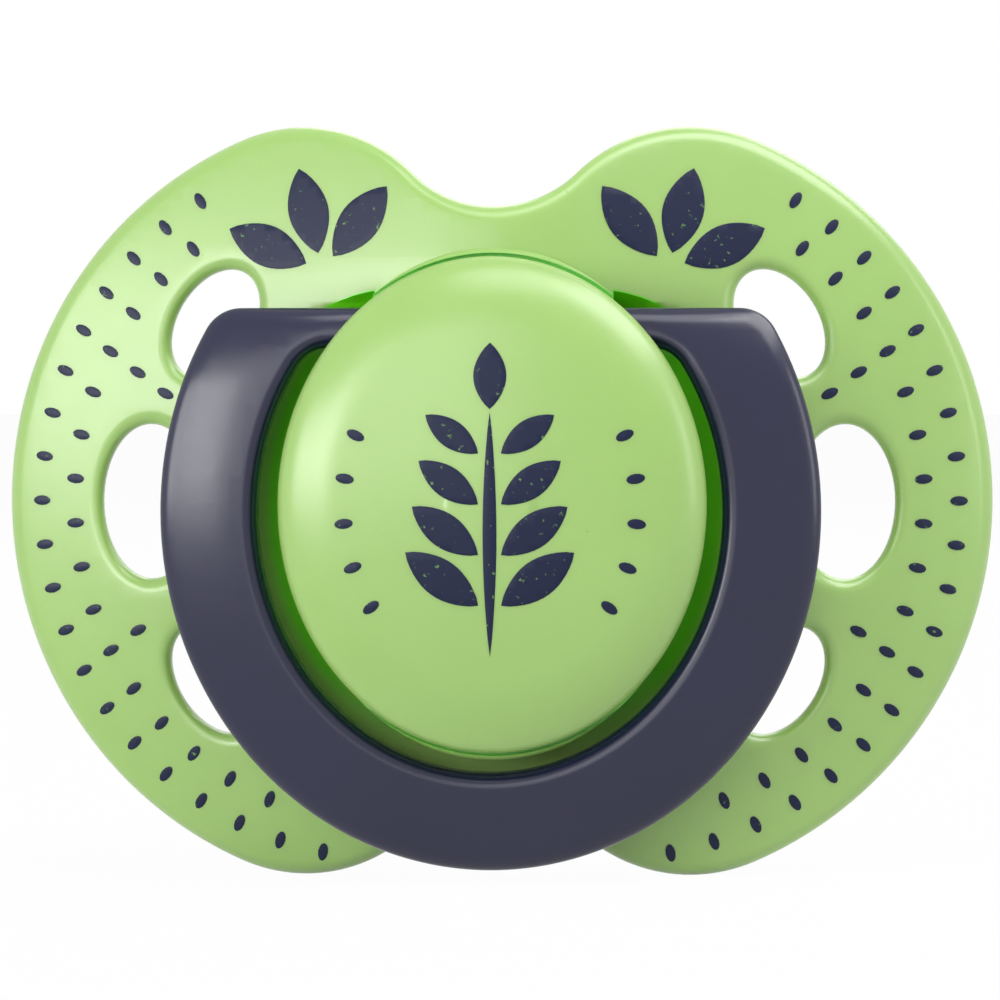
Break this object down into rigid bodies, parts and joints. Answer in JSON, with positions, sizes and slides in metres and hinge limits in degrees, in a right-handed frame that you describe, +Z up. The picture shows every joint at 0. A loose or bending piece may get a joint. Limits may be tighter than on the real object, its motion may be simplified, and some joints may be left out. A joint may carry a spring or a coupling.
{
  "type": "pacifier",
  "caption": "Baby's pacifier with a vented butterfly shield, a hollow silicone teat, a domed knob cover and a ring handle that swings on a bar trapped under the knob.",
  "frame": {"origin": "on the teat's axis, in the plane of the flat boss on the shield's mouth side, where the lips rest", "axes": "+Y along the teat into the mouth, +Z up, +X to the right of someone who looks at the front"},
  "size_m": [0.056, 0.0363, 0.042],
  "materials": {
    "shield": "satin moulded polypropylene",
    "teat": "clear moulded silicone",
    "plug": "moulded polypropylene",
    "knob": "satin moulded polypropylene",
    "handle": "satin moulded polypropylene"
  },
  "bodies": {
    "soother": {"shield": "shield", "teat": "teat", "teat_plug": "plug", "knob_cover": "knob"},
    "handle": {"handle_ring": "handle"}
  },
  "joints": [
    {"name": "handle_swing", "type": "hinge", "parent": "soother", "child": "handle", "pos_m": [0, -0.00395, 0.0097], "axis": [-1, 0, 0], "range_deg": [-2, 180]}
  ]
}
